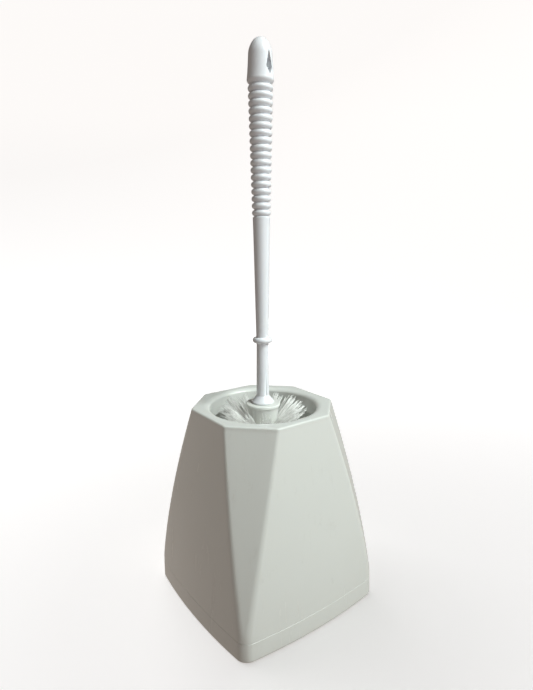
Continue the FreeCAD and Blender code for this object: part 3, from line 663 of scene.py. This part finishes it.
def tuft_tree():
    """A geometry tree that plants a ring of tufts of fine bent fibres."""
    tree = bpy.data.node_groups.new("bristle_tufts", "GeometryNodeTree")
    for name, kind in TUFT_INPUTS:
        tree.interface.new_socket(name, in_out="INPUT", socket_type=kind)
    tree.interface.new_socket("Geometry", in_out="OUTPUT", socket_type="NodeSocketGeometry")
    make = TreeBuilder(tree)
    given = make.add("NodeGroupInput").outputs
    index = make.add("GeometryNodeInputIndex").outputs[0]
    seed = given["Seed"]

    # Directions of this fibre's tuft
    tuft = make.math("FLOOR", make.math("DIVIDE", make.math("ADD", index, 0.5), given["Fibres"]))
    turn = make.math("MULTIPLY", make.math("DIVIDE", tuft, given["Tufts"]), 2 * math.pi)
    turn = make.math("ADD", turn, given["Stagger"])
    cos_turn = make.math("COSINE", turn)
    sin_turn = make.math("SINE", turn)
    cos_lean = make.math("COSINE", given["Lean"])
    sin_lean = make.math("SINE", given["Lean"])
    outward = make.vector(cos_turn, sin_turn, 0.0)
    tuft_axis = make.vector_math("ADD", make.scaled(outward, cos_lean), make.vector(0.0, 0.0, sin_lean))
    across = make.vector(make.math("MULTIPLY", sin_turn, -1.0), cos_turn, 0.0)
    over = make.vector_math("CROSS_PRODUCT", across, tuft_axis)

    # Where the fibre starts and ends within its tuft
    spin = make.random(0.0, 2 * math.pi, seed, 1, index)
    spread = make.math("SQRT", make.random(0.0, 1.0, seed, 2, index))
    side = make.vector_math(
        "ADD",
        make.scaled(across, make.math("COSINE", spin)),
        make.scaled(over, make.math("SINE", spin)),
    )
    middle = make.vector_math(
        "ADD", make.scaled(outward, given["Core Radius"]), make.vector(0.0, 0.0, given["Height"])
    )
    root = make.vector_math("SUBTRACT", middle, make.scaled(tuft_axis, given["Root Depth"]))
    root_side = make.scaled(side, make.math("MULTIPLY", spread, given["Root Radius"]))
    root = make.vector_math("ADD", root, root_side)
    trim = make.random(make.math("SUBTRACT", 1.0, given["Trim"]), 1.0, seed, 3, index)
    tip = make.vector_math("ADD", middle, make.scaled(tuft_axis, make.math("MULTIPLY", trim, given["Reach"])))
    splay = make.random(0.55, 1.0, seed, 4, index)
    tip_out = make.math("MULTIPLY", make.math("MULTIPLY", spread, splay), given["Tip Radius"])
    tip = make.vector_math("ADD", tip, make.scaled(side, tip_out))
    fibre_axis = make.vector_math("SUBTRACT", tip, root)
    fibre_length = make.add("ShaderNodeVectorMath", {0: fibre_axis}, operation="LENGTH").outputs["Value"]

    # Points at the roots, which carry each fibre's bend and tone
    total = make.math("MULTIPLY", given["Tufts"], given["Fibres"])
    points = make.add("GeometryNodePoints", {"Count": total, "Position": root}).outputs[0]
    bow = make.math("MULTIPLY", given["Bend"], make.random(-1.0, 1.0, seed, 5, index))
    sway = make.math("MULTIPLY", given["Bend"], make.random(-1.0, 1.0, seed, 6, index))
    bend = make.vector_math("ADD", make.scaled(across, bow), make.scaled(over, sway))
    points = make.stored(points, "bend", "FLOAT_VECTOR", bend)
    points = make.stored(points, "tone", "FLOAT", make.random(0.0, 1.0, seed, 7, index))

    # One fibre, standing on the origin and one unit long
    fibre = make.add(
        "GeometryNodeMeshCylinder",
        {"Vertices": 4, "Side Segments": 5, "Radius": given["Fibre Radius"], "Depth": 1.0},
        fill_type="NGON",
    ).outputs["Mesh"]
    lift = make.add("GeometryNodeTransform", {"Geometry": fibre, "Translation": (0.0, 0.0, 0.5)}).outputs[0]
    smooth = make.add("GeometryNodeSetShadeSmooth", {"Geometry": lift}).outputs[0]
    rise = make.add("ShaderNodeSeparateXYZ", {0: make.add("GeometryNodeInputPosition").outputs[0]}).outputs[2]
    fibre = make.stored(smooth, "along", "FLOAT", rise)

    aim = make.add("FunctionNodeAlignRotationToVector", {"Vector": fibre_axis}, axis="Z").outputs[0]
    planted = make.add("GeometryNodeInstanceOnPoints", {
        "Points": points,
        "Instance": fibre,
        "Rotation": aim,
        "Scale": make.vector(1.0, 1.0, fibre_length),
    }).outputs[0]
    realized = make.add("GeometryNodeRealizeInstances", {"Geometry": planted}).outputs[0]
    along = make.named("along", "FLOAT")
    share = make.math("POWER", along, 2.0)
    offset = make.scaled(make.named("bend", "FLOAT_VECTOR"), share)
    bent = make.add("GeometryNodeSetPosition", {"Geometry": realized, "Offset": offset}).outputs[0]
    dressed = make.add("GeometryNodeSetMaterial", {"Geometry": bent, "Material": given["Material"]})
    make.add("NodeGroupOutput", {"Geometry": dressed.outputs[0]})
    return tree


def planted_mesh(tree, name, values):
    """The mesh that the tuft tree makes from these inputs."""
    holder = object_from_mesh(name, bpy.data.meshes.new(name))
    modifier = holder.modifiers.new("tufts", "NODES")
    modifier.node_group = tree
    for item in tree.interface.items_tree:
        if item.in_out == "INPUT":
            modifier[item.identifier] = values[item.name]
    holder.update_tag()
    graph = bpy.context.evaluated_depsgraph_get()
    mesh = bpy.data.meshes.new_from_object(holder.evaluated_get(graph), depsgraph=graph)
    holder.modifiers.clear()
    bpy.data.objects.remove(holder)
    return mesh


def joined_mesh(name, meshes):
    """Several meshes as one."""
    whole = bmesh.new()
    for mesh in meshes:
        whole.from_mesh(mesh)
    data = bpy.data.meshes.new(name)
    whole.to_mesh(data)
    whole.free()
    return data


# Finishes


class ShaderBuilder(TreeBuilder):
    """The same short calls for the nodes of a material."""

    def noise(self, vector, scale, detail=2.0, roughness=0.5):
        node = self.add("ShaderNodeTexNoise", {"Scale": scale, "Detail": detail, "Roughness": roughness})
        self.feed(node.inputs["Vector"], vector)
        return node.outputs[0]

    def between(self, value, low, high, out_low=0.0, out_high=1.0):
        node = self.add("ShaderNodeMapRange", clamp=True)
        for key, amount_given in zip(range(5), (value, low, high, out_low, out_high)):
            self.feed(node.inputs[key], amount_given)
        return node.outputs[0]

    def mix(self, factor, first, second):
        node = self.add("ShaderNodeMix", data_type="RGBA")
        self.feed(node.inputs[0], factor)
        self.feed(node.inputs[6], first)
        self.feed(node.inputs[7], second)
        return node.outputs[2]

    def stretched(self, vector, scale, turn=(0.0, 0.0, 0.0)):
        node = self.add("ShaderNodeMapping")
        self.feed(node.inputs["Vector"], vector)
        node.inputs["Scale"].default_value = scale
        node.inputs["Rotation"].default_value = turn
        return node.outputs[0]


def effect_group(name, inputs, outputs):
    """An empty shader group with its sockets, and a builder for it."""
    group = bpy.data.node_groups.new(name, "ShaderNodeTree")
    for socket, kind, default in inputs:
        made = group.interface.new_socket(socket, in_out="INPUT", socket_type=kind)
        if default is not None:
            made.default_value = default
    for socket, kind in outputs:
        group.interface.new_socket(socket, in_out="OUTPUT", socket_type=kind)
    make = ShaderBuilder(group)
    return group, make, make.add("NodeGroupInput").outputs


def moulded_group():
    """The skin of moulded plastic: fine pebbling, slow waviness and uneven gloss."""
    inputs = (
        ("Vector", "NodeSocketVector", None),
        ("Gloss", "NodeSocketFloat", 0.3),
        ("Waves", "NodeSocketFloat", 1.0),
    )
    outputs = (("Roughness", "NodeSocketFloat"), ("Height", "NodeSocketFloat"), ("Tone", "NodeSocketFloat"))
    group, make, given = effect_group("moulded_skin", inputs, outputs)
    vector = given["Vector"]
    pebble = make.noise(vector, 2600.0, 2.0)
    wave = make.noise(vector, 38.0, 3.0)
    cloud = make.noise(vector, 14.0, 4.0, 0.6)
    patch = make.between(cloud, 0.1, 0.9, -0.05, 0.07)
    swell = make.math("MULTIPLY", wave, given["Waves"])
    height = make.math("ADD", make.math("MULTIPLY", pebble, 0.25), swell)
    make.add("NodeGroupOutput", {
        "Roughness": make.math("ADD", given["Gloss"], patch),
        "Height": height,
        "Tone": make.between(wave, 0.1, 0.9),
    })
    return group


def scuff_group():
    """Hair scratches and small rubbed marks, as a mask."""
    inputs = (("Vector", "NodeSocketVector", None), ("Amount", "NodeSocketFloat", 0.5))
    outputs = (("Mask", "NodeSocketFloat"), ("Scratch", "NodeSocketFloat"))
    group, make, given = effect_group("scuffs", inputs, outputs)
    vector = given["Vector"]
    upright = make.stretched(vector, (260.0, 260.0, 16.0), (0.12, 0.18, 0.0))
    hair = make.between(make.noise(upright, 1.0, 3.0, 0.65), 0.60, 0.78)
    slanted = make.stretched(vector, (210.0, 60.0, 24.0), (0.9, 0.5, 0.4))
    rub = make.between(make.noise(slanted, 1.0, 5.0, 0.7), 0.58, 0.82)
    where = make.between(make.noise(vector, 19.0, 2.0), 0.46, 0.60)
    scratch = make.math("MULTIPLY", hair, where)
    smudge = make.math("MULTIPLY", rub, make.between(make.noise(vector, 31.0, 2.0), 0.5, 0.62))
    both = make.math("MAXIMUM", scratch, smudge)
    make.add("NodeGroupOutput", {"Mask": make.math("MULTIPLY", both, given["Amount"]), "Scratch": scratch})
    return group


def settled_group():
    """Dust and splashes that gather towards the floor, as a mask."""
    inputs = (
        ("Vector", "NodeSocketVector", None),
        ("Top", "NodeSocketFloat", 0.05),
        ("Amount", "NodeSocketFloat", 0.5),
    )
    group, make, given = effect_group("settled_dust", inputs, (("Mask", "NodeSocketFloat"),))
    height = make.add("ShaderNodeSeparateXYZ", {0: given["Vector"]}).outputs[2]
    low = make.between(height, 0.0, given["Top"], 1.0, 0.0)
    cloud = make.between(make.noise(given["Vector"], 55.0, 6.0, 0.65), 0.35, 0.85)
    speck = make.between(make.noise(given["Vector"], 420.0, 2.0), 0.70, 0.76)
    both = make.math("ADD", make.math("MULTIPLY", cloud, 0.7), speck)
    mask = make.math("MULTIPLY", make.math("MULTIPLY", both, low), given["Amount"])
    make.add("NodeGroupOutput", {"Mask": mask})
    return group


def material_base(name):
    """A new material with only its shader, and a builder for it."""
    material = bpy.data.materials.new(name)
    material.use_nodes = True
    tree = material.node_tree
    tree.nodes.clear()
    make = ShaderBuilder(tree)
    shader = make.add("ShaderNodeBsdfPrincipled")
    output = make.add("ShaderNodeOutputMaterial")
    tree.links.new(shader.outputs[0], output.inputs[0])
    return material, make, shader


def opaque(colour_given):
    """The colour with a full alpha."""
    return (*colour_given, 1.0)


def moulded_plastic(name, base, gloss, waves, bump, scuffs, dust):
    """Glossy moulded plastic with faint marks. Scuffs and dust are amounts from 0 to 1."""
    material, make, shader = material_base(name)
    finish = settings("brush_finish")
    place = make.add("ShaderNodeTexCoord").outputs["Object"]
    skin = make.add("ShaderNodeGroup", node_tree=bpy.data.node_groups["moulded_skin"])
    make.feed(skin.inputs["Vector"], place)
    skin.inputs["Gloss"].default_value = gloss
    skin.inputs["Waves"].default_value = waves
    marks = make.add("ShaderNodeGroup", node_tree=bpy.data.node_groups["scuffs"])
    make.feed(marks.inputs["Vector"], place)
    marks.inputs["Amount"].default_value = scuffs
    settled = make.add("ShaderNodeGroup", node_tree=bpy.data.node_groups["settled_dust"])
    make.feed(settled.inputs["Vector"], place)
    settled.inputs["Amount"].default_value = dust
    darker = tuple(value * 0.98 for value in base)
    tone = make.mix(skin.outputs["Tone"], opaque(darker), opaque(base))
    tone = make.mix(marks.outputs["Mask"], tone, opaque(finish.grime))
    tone = make.mix(settled.outputs["Mask"], tone, opaque(finish.grime))
    make.feed(shader.inputs["Base Color"], tone)
    rubbed = make.math("MULTIPLY", marks.outputs["Scratch"], 0.2)
    make.feed(shader.inputs["Roughness"], make.math("ADD", skin.outputs["Roughness"], rubbed))
    bumped = make.add("ShaderNodeBump", {"Strength": bump, "Distance": 0.00012})
    make.feed(bumped.inputs["Height"], skin.outputs["Height"])
    make.feed(shader.inputs["Normal"], bumped.outputs[0])
    shader.inputs["IOR"].default_value = 1.49
    shader.inputs["Subsurface Weight"].default_value = 0.1
    shader.inputs["Subsurface Radius"].default_value = (1.0, 0.9, 0.8)
    shader.inputs["Subsurface Scale"].default_value = 0.0009
    return material


def nylon(name, base):
    """Fine filament, each fibre its own tone, with painted shade towards the roots and a faint painted glow
    of its own.
    """
    material, make, shader = material_base(name)
    tone = make.add("ShaderNodeAttribute", attribute_name="tone").outputs["Fac"]
    along = make.add("ShaderNodeAttribute", attribute_name="along").outputs["Fac"]
    darker = tuple(value * 0.72 for value in base)
    shade = make.mix(tone, opaque(darker), opaque(base))
    # Painted shade: each fibre darkens towards its root, where the tuft shades itself.
    root = tuple(value * 0.62 for value in base)
    make.feed(shader.inputs["Base Color"], make.mix(make.between(along, 0.0, 0.45), opaque(root), shade))
    place = make.add("ShaderNodeTexCoord").outputs["Object"]
    grain = make.noise(place, 900.0, 2.0)
    make.feed(shader.inputs["Roughness"], make.between(grain, 0.3, 0.7, 0.26, 0.42))
    shader.inputs["IOR"].default_value = 1.53
    # Painted light: the fibres glow faintly in their own colour, brightening the tufts' shaded side.
    shader.inputs["Emission Color"].default_value = opaque(base)
    shader.inputs["Emission Strength"].default_value = 0.10
    return material


def drawn_wire(name, base):
    """Drawn staple wire with lengthwise streaks."""
    material, make, shader = material_base(name)
    place = make.add("ShaderNodeTexCoord").outputs["Object"]
    streak = make.noise(make.stretched(place, (300.0, 300.0, 4000.0)), 1.0, 3.0)
    darker = tuple(value * 0.7 for value in base)
    make.feed(shader.inputs["Base Color"], make.mix(streak, opaque(darker), opaque(base)))
    make.feed(shader.inputs["Roughness"], make.between(streak, 0.2, 0.8, 0.25, 0.5))
    shader.inputs["Metallic"].default_value = 1.0
    return material


def stage_paper(name, base, near_glow, far_glow):
    """Matt studio paper that glows in its own colour, a painted light, and glows less round the object, a
    painted shade there.
    """
    material, make, shader = material_base(name)
    place = make.add("ShaderNodeTexCoord").outputs["Object"]
    fibre = make.noise(place, 160.0, 4.0)
    darker = tuple(value * 0.985 for value in base)
    make.feed(shader.inputs["Base Color"], make.mix(fibre, opaque(darker), opaque(base)))
    shader.inputs["Roughness"].default_value = 0.9
    shader.inputs["Specular IOR Level"].default_value = 0.1
    # Painted light: the paper glows of its own, weaker near the object so that it reads as a painted shade
    # round it.
    shader.inputs["Emission Color"].default_value = opaque(base)
    reach = make.add("ShaderNodeVectorMath", {0: place}, operation="LENGTH").outputs["Value"]
    make.feed(shader.inputs["Emission Strength"], make.between(reach, 0.15, 0.85, near_glow, far_glow))
    return material


def made_once(name, maker, *values):
    """The material of this name, made if it isn't there yet."""
    return bpy.data.materials.get(name) or maker(name, *values)


def effect_groups():
    """Makes the shared shader groups that aren't there yet."""
    makers = {"moulded_skin": moulded_group, "scuffs": scuff_group, "settled_dust": settled_group}
    for name, maker in makers.items():
        if name not in bpy.data.node_groups:
            maker()


# Gloss, waviness, bump strength, scuffs and dust of each plastic
PLASTICS = {
    "holder": (0.22, 0.8, 0.08, 0.26, 0.10),
    "handle": (0.20, 0.6, 0.08, 0.06, 0.0),
    "head": (0.32, 0.6, 0.10, 0.12, 0.0),
}


def plastic(part):
    """The moulded plastic of the holder, the handle or the head."""
    effect_groups()
    base = getattr(settings("brush_finish"), part)
    return made_once(f"moulded_{part}", moulded_plastic, base, *PLASTICS[part])


# Operators


class BRUSH_OT_shell(bpy.types.Operator):
    """Make the holder's flared shell"""

    bl_idname = "brush.shell"
    bl_label = "Holder Shell"

    def execute(self, context):
        mesh = make_shell_mesh(context.scene.brush_holder)
        smooth_by_angle(mesh)
        shell = object_from_mesh("holder_shell", mesh)
        finish_piece(shell, "holder", "holder_plastic", plastic("holder"), "holder_body")
        return {"FINISHED"}


class BRUSH_OT_tray(bpy.types.Operator):
    """Make the tray that the shell stands on"""

    bl_idname = "brush.tray"
    bl_label = "Base Tray"

    def execute(self, context):
        mesh = make_tray_mesh(context.scene.brush_holder)
        smooth_by_angle(mesh)
        tray = object_from_mesh("holder_tray", mesh)
        finish_piece(tray, "base", "holder_plastic", plastic("holder"), "base_tray")
        return {"FINISHED"}


class BRUSH_OT_handle(bpy.types.Operator):
    """Make the ringed handle with its hanging slot and flutes"""

    bl_idname = "brush.handle"
    bl_label = "Handle"

    def execute(self, context):
        handle = context.scene.brush_handle
        turned = lathe("ringed_handle", handle_profile(handle), HANDLE_SEGMENTS)
        bar = object_from_mesh("ringed_handle", turned)
        cutters = [slot_cutter(handle), flute_cutter(handle, 0), flute_cutter(handle, 1)]
        mesh = cut_away(bar, cutters)
        mesh.transform(Matrix.Rotation(handle.turn, 4, "Z"))
        smooth_by_angle(mesh)
        finish_piece(bar, "handle", "handle_plastic", plastic("handle"), "brush_handle")
        return {"FINISHED"}


class BRUSH_OT_head(bpy.types.Operator):
    """Make the head: cap, barrel and the core with its tuft holes"""

    bl_idname = "brush.head"
    bl_label = "Brush Head"

    def execute(self, context):
        head = object_from_mesh("head_core", merged_copy("brush_head", "head_core"))
        finish_piece(head, "head", "head_plastic", plastic("head"), "brush_head")
        return {"FINISHED"}


class BRUSH_OT_bristles(bpy.types.Operator):
    """Plant the rows of nylon tufts and the end tufts"""

    bl_idname = "brush.bristles"
    bl_label = "Bristles"

    def execute(self, context):
        bristle = context.scene.brush_bristles
        material = made_once("tuft_nylon", nylon, settings("brush_finish").nylon)
        tree = tuft_tree()
        shared = {
            "Tufts": bristle.tufts,
            "Fibres": bristle.fibres,
            "Core Radius": bristle.core_radius,
            "Stagger": 0.0,
            "Root Radius": bristle.root_radius,
            "Root Depth": bristle.root_depth,
            "Tip Radius": bristle.tip_radius,
            "Fibre Radius": bristle.fibre_radius,
            "Bend": bristle.bend,
            "Trim": bristle.trim,
            "Material": material,
        }
        for index, name in enumerate(ROW_NAMES):
            share = index / (len(ROW_NAMES) - 1)
            lean = bristle.lean * (1 - 2 * share)
            values = dict(shared, Lean=lean, Seed=bristle.seed + 20 * index)
            values["Height"] = bristle.top_height + (bristle.bottom_height - bristle.top_height) * share
            values["Reach"] = (bristle.reach - bristle.core_radius) / math.cos(lean)
            values["Stagger"] = math.pi / bristle.tufts if index % 2 else 0.0
            self.plant(planted_mesh(tree, f"nylon_{name}", values), f"nylon_{name}", material, name)
        end_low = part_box("bristle_end")[0].z
        end_reach = HEAD_LOW.z - end_low
        ring = dict(shared, Tufts=bristle.end_count, Height=HEAD_LOW.z, Reach=end_reach)
        ring["Seed"] = bristle.seed + 300
        ring["Core Radius"] = bristle.end_ring
        ring["Lean"] = bristle.end_lean - math.pi / 2
        ring["Tip Radius"] = bristle.end_tip
        middle = dict(ring, Tufts=1, Lean=-math.pi / 2, Seed=bristle.seed + 320)
        middle["Core Radius"] = 0.0
        meshes = [planted_mesh(tree, "end_tufts", values) for values in (ring, middle)]
        self.plant(joined_mesh("nylon_bristle_end", meshes), "nylon_bristle_end", material, "bristle_end")
        return {"FINISHED"}

    def plant(self, mesh, name, material, node):
        mesh.name = name
        tufts = object_from_mesh(name, mesh)
        finish_piece(tufts, "head", "bristle_nylon", material, node)


class BRUSH_OT_staples(bpy.types.Operator):
    """Give the staples in the tuft holes their finish"""

    bl_idname = "brush.staples"
    bl_label = "Staples"

    def execute(self, context):
        wire = made_once("drawn_staple_wire", drawn_wire, settings("brush_finish").staple)
        for name in STAPLE_NAMES:
            light_up(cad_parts[name], "head")
            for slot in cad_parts[name].material_slots:
                slot.material = wire
        return {"FINISHED"}


class BRUSH_OT_stage(bpy.types.Operator):
    """Set up the floor, the lights and the camera"""

    bl_idname = "brush.stage"
    bl_label = "Studio"

    def execute(self, context):
        stage = context.scene.brush_stage
        add_backdrop(stage)
        add_lights(stage)
        add_camera(stage)
        return {"FINISHED"}


def add_backdrop(stage):
    """A pale round floor that sweeps up into a wall on every side."""
    floor = stage.sweep_start
    rise = stage.sweep_radius
    profile = [(reach, 0.0) for reach in (0.05, 0.2, 0.5, floor)]
    turns = steps_between(0, math.pi / 2, 24)[1:]
    profile += [(floor + rise * math.sin(turn), rise * (1 - math.cos(turn))) for turn in turns]
    profile.append((floor + rise, stage.wall_height))
    mesh = bmesh.new()
    spokes = steps_between(0, 2 * math.pi, 96)[:-1]
    rows = [[mesh.verts.new((r * math.cos(a), r * math.sin(a), z)) for a in spokes] for r, z in profile]
    middle = mesh.verts.new((0, 0, 0))
    for index, corner in enumerate(rows[0]):
        mesh.faces.new((middle, corner, rows[0][(index + 1) % len(spokes)]))
    for low, high in zip(rows, rows[1:]):
        for index in range(len(spokes)):
            after = (index + 1) % len(spokes)
            mesh.faces.new((low[index], high[index], high[after], low[after]))
    data = bpy.data.meshes.new("studio_sweep")
    mesh.to_mesh(data)
    mesh.free()
    smooth_by_angle(data, 60)
    sweep = object_from_mesh("studio_sweep", data)
    paper = made_once("studio_paper", stage_paper, stage.floor, stage.near_glow, stage.far_glow)
    data.materials.append(paper)
    light_up(sweep, "floor")
    sweep.visible_diffuse = False
    sweep.visible_glossy = False
    sweep.visible_shadow = False


LIGHTS = (
    # name, bearing from +X, height over the target, level distance, width, height of panel, watts, colour,
    # and what it lights
    ("key_panel", 29.0, 1.6, 1.35, 1.1, 0.9, 51.0, (0.92, 1.0, 0.98), "lit_pieces"),
    ("left_fill", -168.0, -0.07, 0.75, 0.5, 0.36, 3.2, (1.0, 0.94, 0.88), "lit_holder"),
    ("brush_fill", 4.0, 0.30, 1.3, 0.4, 0.6, 3.8, (0.90, 0.96, 1.0), "lit_brush"),
    ("floor_panel", -170.0, 1.4, 0.8, 1.5, 1.5, 15.0, (1.0, 1.0, 1.0), "lit_floor"),
)
TARGET = Vector((0, 0, 0.12))
BODY_LIGHTS = {
    "holder": ("lit_pieces", "lit_holder"),
    "base": ("lit_pieces", "lit_holder"),
    "head": ("lit_pieces", "lit_brush"),
    "handle": ("lit_pieces", "lit_brush"),
    "floor": ("lit_floor",),
}


def light_up(thing, body):
    """Puts a piece among the things that its lights reach."""
    for name in BODY_LIGHTS[body]:
        group = bpy.data.collections.get(name) or bpy.data.collections.new(name)
        group.objects.link(thing)


def add_lights(stage):
    """Soft panels that face the object, and a dim warm room round them."""
    for name, bearing, rise, reach, wide, high, watts, tint, lit in LIGHTS:
        light = bpy.data.lights.new(name, "AREA")
        light.shape = "RECTANGLE"
        light.size = wide
        light.size_y = high
        light.energy = watts
        light.color = tint
        turn = math.radians(bearing)
        out = Vector((reach * math.cos(turn), reach * math.sin(turn), rise))
        lamp = bpy.data.objects.new(name, light)
        facing = (-out).to_track_quat("-Z", "Y").to_matrix().to_4x4()
        lamp.matrix_world = Matrix.Translation(TARGET + out) @ facing
        lamp.visible_camera = False
        lamp.visible_glossy = name == "key_panel"
        group = bpy.data.collections.get(lit) or bpy.data.collections.new(lit)
        lamp.light_linking.receiver_collection = group
        bpy.context.scene.collection.objects.link(lamp)
    world = bpy.data.worlds.new("studio_room")
    world.use_nodes = True
    make = ShaderBuilder(world.node_tree)
    direction = make.add("ShaderNodeTexCoord").outputs["Generated"]
    rise = make.between(make.add("ShaderNodeSeparateXYZ", {0: direction}).outputs[2], -0.5, 0.5)
    room = make.mix(rise, opaque(stage.room_low), opaque(stage.room_high))
    make.feed(world.node_tree.nodes["Background"].inputs["Color"], room)
    bpy.context.scene.world = world
    bpy.context.scene.view_settings.view_transform = "Standard"


def add_camera(stage):
    """The camera, placed round the axis by its bearing and turned by its pan, tilt and roll."""
    out = Vector((math.sin(stage.bearing), -math.cos(stage.bearing), 0))
    place = out * stage.distance + Vector((0, 0, stage.height))
    side = Vector((math.cos(stage.bearing), math.sin(stage.bearing), 0))
    pan = Matrix.Rotation(stage.pan, 3, "Z")
    ahead = pan @ -out
    right = pan @ side
    look = ahead * math.cos(stage.tilt) - Vector((0, 0, 1)) * math.sin(stage.tilt)
    up = ahead * math.sin(stage.tilt) + Vector((0, 0, 1)) * math.cos(stage.tilt)
    rolled_right = right * math.cos(stage.roll) + up * math.sin(stage.roll)
    rolled_up = up * math.cos(stage.roll) - right * math.sin(stage.roll)
    lens = bpy.data.cameras.new("camera")
    lens.lens = stage.lens
    lens.sensor_width = 36.0
    lens.sensor_fit = "AUTO"
    lens.clip_start = 0.01
    camera = bpy.data.objects.new("camera", lens)
    turned = Matrix((rolled_right, rolled_up, -look)).transposed().to_4x4()
    camera.matrix_world = Matrix.Translation(place) @ turned
    bpy.context.scene.collection.objects.link(camera)
    bpy.context.scene.camera = camera


class BRUSH_PT_panel(bpy.types.Panel):
    """Lists the pieces of the brush and holder"""

    bl_idname = "BRUSH_PT_panel"
    bl_label = "Brush and Holder"
    bl_space_type = "VIEW_3D"
    bl_region_type = "UI"
    bl_category = "Brush"

    def draw(self, context):
        for operator in OPERATORS:
            self.layout.operator(operator.bl_idname)


OPERATORS = (
    BRUSH_OT_stage,
    BRUSH_OT_shell,
    BRUSH_OT_tray,
    BRUSH_OT_handle,
    BRUSH_OT_head,
    BRUSH_OT_bristles,
    BRUSH_OT_staples,
)
GROUPS = {
    "brush_holder": HolderSettings,
    "brush_handle": HandleSettings,
    "brush_bristles": BristleSettings,
    "brush_finish": FinishSettings,
    "brush_stage": StageSettings,
}


def register():
    for kind in (*GROUPS.values(), *OPERATORS, BRUSH_PT_panel):
        bpy.utils.register_class(kind)
    for name, kind in GROUPS.items():
        setattr(bpy.types.Scene, name, PointerProperty(type=kind))


def unregister():
    for name in GROUPS:
        delattr(bpy.types.Scene, name)
    for kind in (BRUSH_PT_panel, *reversed(OPERATORS), *GROUPS.values()):
        bpy.utils.unregister_class(kind)


def main():
    register()
    bpy.ops.brush.stage()
    bpy.ops.brush.shell()
    bpy.ops.brush.tray()
    bpy.ops.brush.handle()
    bpy.ops.brush.head()
    bpy.ops.brush.bristles()
    bpy.ops.brush.staples()


if __name__ == "__main__":
    main()
